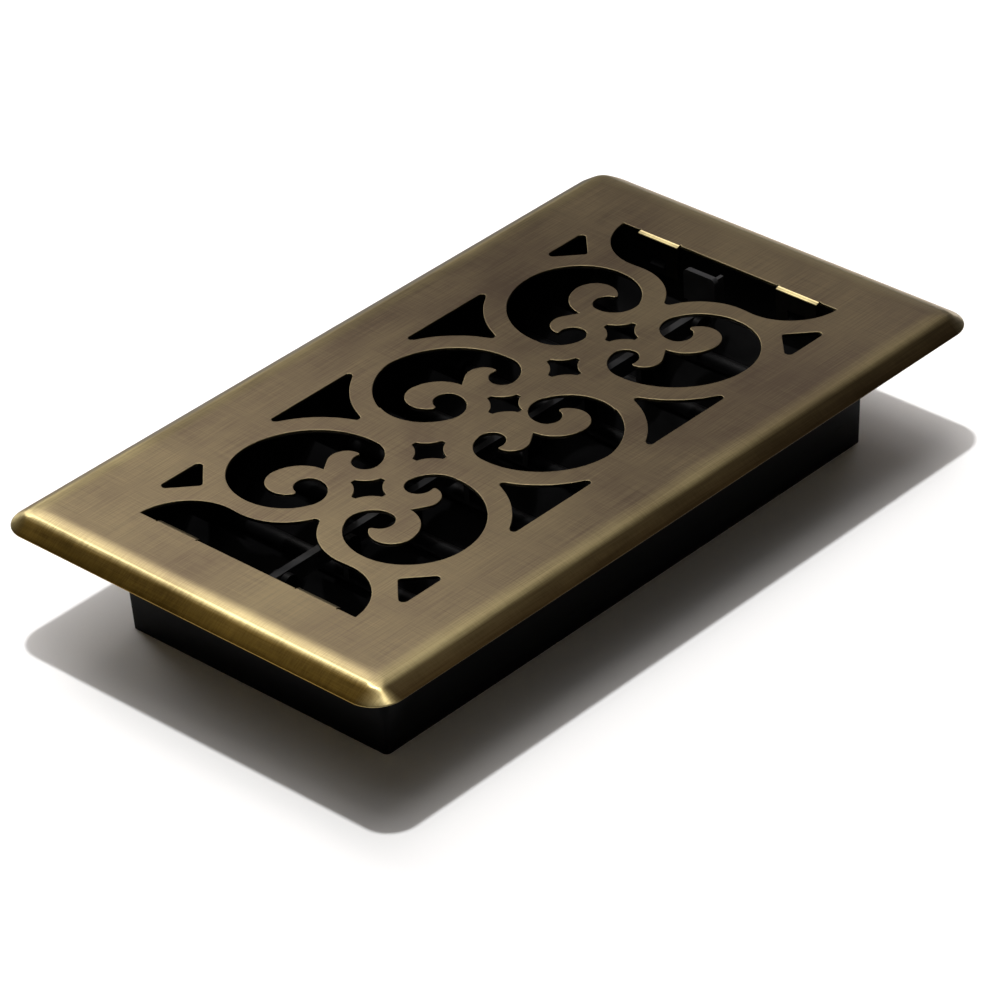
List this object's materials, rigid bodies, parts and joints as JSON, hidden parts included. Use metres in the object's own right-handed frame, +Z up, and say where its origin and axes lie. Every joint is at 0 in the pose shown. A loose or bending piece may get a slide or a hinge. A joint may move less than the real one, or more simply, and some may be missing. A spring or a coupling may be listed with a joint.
{
  "type": "floor register",
  "caption": "Drop-in floor air register: scroll-pattern brushed brass face plate over a black damper box with louvres tilted together by a link bar and thumb lever.",
  "frame": {"origin": "centre of the damper box's bottom rim, the lowest face", "axes": "+Z up through the face plate, X across the duct, +Y along the duct towards the thumb lever"},
  "size_m": [0.1396, 0.2414, 0.043],
  "materials": {
    "antique_brass": "steel sheet with a brushed antique brass plating",
    "black_box_plastic": "satin black moulded plastic",
    "black_louvre_plastic": "satin black moulded plastic",
    "black_link_plastic": "satin black moulded plastic, slightly polished by use"
  },
  "bodies": {
    "frame": {"face_plate": "antique_brass", "damper_box": "black_box_plastic"},
    "louvre_1": {"louvre_1": "black_louvre_plastic"},
    "louvre_2": {"louvre_2": "black_louvre_plastic"},
    "louvre_3": {"louvre_3": "black_louvre_plastic"},
    "louvre_4": {"louvre_4": "black_louvre_plastic"},
    "louvre_5": {"louvre_5": "black_louvre_plastic"},
    "louvre_6": {"louvre_6": "black_louvre_plastic"},
    "louvre_7": {"louvre_7": "black_louvre_plastic"},
    "louvre_8": {"louvre_8": "black_louvre_plastic"},
    "link": {"link_bar": "black_link_plastic", "thumb_lever": "black_link_plastic"}
  },
  "joints": [
    {"name": "louvre_1_tilt", "type": "hinge", "parent": "frame", "child": "louvre_1", "pos_m": [0, 0.0826, 0.017], "axis": [1, 0, 0], "range_deg": [-41, 45]},
    {"name": "louvre_2_tilt", "type": "hinge", "parent": "frame", "child": "louvre_2", "pos_m": [0, 0.059, 0.017], "axis": [1, 0, 0], "range_deg": [-41, 45]},
    {"name": "louvre_3_tilt", "type": "hinge", "parent": "frame", "child": "louvre_3", "pos_m": [0, 0.0354, 0.017], "axis": [1, 0, 0], "range_deg": [-41, 45]},
    {"name": "louvre_4_tilt", "type": "hinge", "parent": "frame", "child": "louvre_4", "pos_m": [0, 0.0118, 0.017], "axis": [1, 0, 0], "range_deg": [-41, 45]},
    {"name": "louvre_5_tilt", "type": "hinge", "parent": "frame", "child": "louvre_5", "pos_m": [0, -0.0118, 0.017], "axis": [1, 0, 0], "range_deg": [-41, 45]},
    {"name": "louvre_6_tilt", "type": "hinge", "parent": "frame", "child": "louvre_6", "pos_m": [0, -0.0354, 0.017], "axis": [1, 0, 0], "range_deg": [-41, 45]},
    {"name": "louvre_7_tilt", "type": "hinge", "parent": "frame", "child": "louvre_7", "pos_m": [0, -0.059, 0.017], "axis": [1, 0, 0], "range_deg": [-41, 45]},
    {"name": "louvre_8_tilt", "type": "hinge", "parent": "frame", "child": "louvre_8", "pos_m": [0, -0.0826, 0.017], "axis": [1, 0, 0], "range_deg": [-41, 45]},
    {"name": "link_swing", "type": "hinge", "parent": "louvre_1", "child": "link", "pos_m": [-0.002, 0.0826, 0.027], "axis": [1, 0, 0], "range_deg": [-45, 41]}
  ],
  "couplings": [
    {"joint": "louvre_2_tilt", "follows": "louvre_1_tilt", "ratio": 1},
    {"joint": "louvre_3_tilt", "follows": "louvre_1_tilt", "ratio": 1},
    {"joint": "louvre_4_tilt", "follows": "louvre_1_tilt", "ratio": 1},
    {"joint": "louvre_5_tilt", "follows": "louvre_1_tilt", "ratio": 1},
    {"joint": "louvre_6_tilt", "follows": "louvre_1_tilt", "ratio": 1},
    {"joint": "louvre_7_tilt", "follows": "louvre_1_tilt", "ratio": 1},
    {"joint": "louvre_8_tilt", "follows": "louvre_1_tilt", "ratio": 1},
    {"joint": "link_swing", "follows": "louvre_1_tilt", "ratio": -1}
  ]
}
